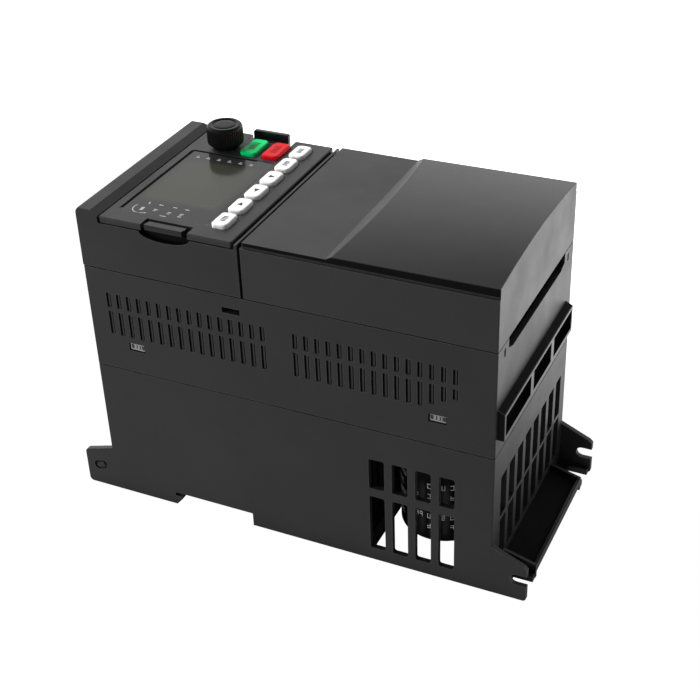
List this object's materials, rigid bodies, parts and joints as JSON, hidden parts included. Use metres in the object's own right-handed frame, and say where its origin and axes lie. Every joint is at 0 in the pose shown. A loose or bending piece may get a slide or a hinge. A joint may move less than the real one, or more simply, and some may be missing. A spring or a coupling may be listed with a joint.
{
  "type": "variable frequency drive",
  "caption": "Compact drive in a three-part dark housing: lift-off keypad with knob, display and keys, arched terminal cover, vented sides, rail channel and screw ears.",
  "frame": {"origin": "middle of the footprint, on the mounting plane", "axes": "+Z from the mounting plane to the keypad, +X from the fan end to the cable end, +Y across the width"},
  "size_m": [0.19, 0.085, 0.1368],
  "materials": {
    "housing_grey": "fine-textured moulded plastic, charcoal grey",
    "cover_grey": "charcoal plastic, matt pad and polished raised arch",
    "keypad_grey": "satin charcoal plastic",
    "window_film": "smoked glossy film",
    "display_glass": "unlit grey-green liquid crystal display",
    "key_white": "white satin plastic",
    "key_green": "vivid green plastic",
    "key_red": "vivid red plastic",
    "knob_black": "black plastic",
    "latch_black": "polished dark plastic",
    "circuit_board": "green solder resist",
    "component_black": "black epoxy",
    "terminal_plastic": "black nylon",
    "relay_plastic": "blue thermoplastic",
    "coil_tape": "yellow tape",
    "capacitor_sleeve": "black shrink sleeve",
    "sink_aluminium": "extruded, black anodised",
    "screw_steel": "zinc plated",
    "standoff_brass": "turned",
    "pad_grey": "soft thermal interface pad",
    "fan_black": "black glass-filled plastic",
    "led_lens": "milky lens",
    "clip_light": "light grey plastic"
  },
  "bodies": {
    "drive": {"base_housing": "housing_grey", "middle_housing": "housing_grey", "upper_housing": "housing_grey", "heatsink": "sink_aluminium", "thermal_pad": "pad_grey", "power_module": "component_black", "rectifier_bridge": "component_black", "board_standoffs": "standoff_brass", "power_pcb": "circuit_board", "dc_link_capacitors": "capacitor_sleeve", "switching_transformer": "coil_tape", "precharge_relay": "relay_plastic", "power_terminal_block": "terminal_plastic", "power_terminal_screws": "screw_steel", "control_pcb": "circuit_board", "control_standoffs": "standoff_brass", "control_terminal_block": "terminal_plastic", "control_terminal_screws": "screw_steel", "fault_relay": "relay_plastic", "processor_chip": "component_black", "keypad_connector": "component_black", "fan_frame": "fan_black", "housing_clips": "clip_light", "sink_screws": "screw_steel"},
    "keypad": {"keypad_bezel": "keypad_grey", "keypad_rear_shell": "keypad_grey", "latch_pins": "screw_steel", "window_film": "window_film", "display_module": "display_glass", "keypad_pcb": "circuit_board", "key_switches": "component_black", "status_leds": "led_lens", "potentiometer_body": "component_black", "keypad_plug": "component_black"},
    "key_1": {"key_1": "key_white"},
    "key_2": {"key_2": "key_white"},
    "key_3": {"key_3": "key_white"},
    "key_4": {"key_4": "key_white"},
    "key_5": {"key_5": "key_white"},
    "key_6": {"key_6": "key_white"},
    "run_key": {"run_key": "key_green"},
    "stop_key": {"stop_key": "key_red"},
    "knob": {"knob": "knob_black", "potentiometer_shaft": "screw_steel"},
    "near_latch": {"near_latch": "latch_black"},
    "far_latch": {"far_latch": "latch_black"},
    "terminal_cover": {"terminal_cover": "cover_grey"},
    "fan_rotor": {"fan_rotor": "fan_black"},
    "fan_door": {"fan_door": "housing_grey"},
    "rail_clip": {"rail_clip": "housing_grey"}
  },
  "joints": [
    {"name": "keypad_lift", "type": "slide", "parent": "drive", "child": "keypad", "axis": [0, 0, 1], "range_m": [0, 0.04]},
    {"name": "key_1_press", "type": "slide", "parent": "keypad", "child": "key_1", "axis": [0, 0, -1], "range_m": [0, 0.0008], "stiffness_N_per_m": 400},
    {"name": "key_2_press", "type": "slide", "parent": "keypad", "child": "key_2", "axis": [0, 0, -1], "range_m": [0, 0.0008], "stiffness_N_per_m": 400},
    {"name": "key_3_press", "type": "slide", "parent": "keypad", "child": "key_3", "axis": [0, 0, -1], "range_m": [0, 0.0008], "stiffness_N_per_m": 400},
    {"name": "key_4_press", "type": "slide", "parent": "keypad", "child": "key_4", "axis": [0, 0, -1], "range_m": [0, 0.0008], "stiffness_N_per_m": 400},
    {"name": "key_5_press", "type": "slide", "parent": "keypad", "child": "key_5", "axis": [0, 0, -1], "range_m": [0, 0.0008], "stiffness_N_per_m": 400},
    {"name": "key_6_press", "type": "slide", "parent": "keypad", "child": "key_6", "axis": [0, 0, -1], "range_m": [0, 0.0008], "stiffness_N_per_m": 400},
    {"name": "run_key_press", "type": "slide", "parent": "keypad", "child": "run_key", "axis": [0, 0, -1], "range_m": [0, 0.0008], "stiffness_N_per_m": 400},
    {"name": "stop_key_press", "type": "slide", "parent": "keypad", "child": "stop_key", "axis": [0, 0, -1], "range_m": [0, 0.0008], "stiffness_N_per_m": 400},
    {"name": "knob_turn", "type": "hinge", "parent": "keypad", "child": "knob", "pos_m": [-0.0578, 0.0278, 0.128], "axis": [0, 0, 1], "range_deg": [-140, 140]},
    {"name": "near_latch_press", "type": "hinge", "parent": "keypad", "child": "near_latch", "pos_m": [-0.0454, -0.0382, 0.116], "axis": [-1, 0, 0], "range_deg": [0, 4], "stiffness_Nm_per_rad": 0.06},
    {"name": "far_latch_press", "type": "hinge", "parent": "keypad", "child": "far_latch", "pos_m": [-0.044, 0.0382, 0.116], "axis": [1, 0, 0], "range_deg": [0, 4], "stiffness_Nm_per_rad": 0.06},
    {"name": "cover_lift", "type": "slide", "parent": "drive", "child": "terminal_cover", "axis": [0, 0, 1], "range_m": [0, 0.05]},
    {"name": "fan_spin", "type": "hinge", "parent": "drive", "child": "fan_rotor", "pos_m": [-0.0698, 0, 0.034], "axis": [1, 0, 0], "continuous": true},
    {"name": "fan_door_pull", "type": "slide", "parent": "drive", "child": "fan_door", "axis": [-1, 0, 0], "range_m": [0, 0.03]},
    {"name": "rail_clip_slide", "type": "slide", "parent": "drive", "child": "rail_clip", "axis": [1, 0, 0], "range_m": [0, 0.004], "stiffness_N_per_m": 1500}
  ]
}
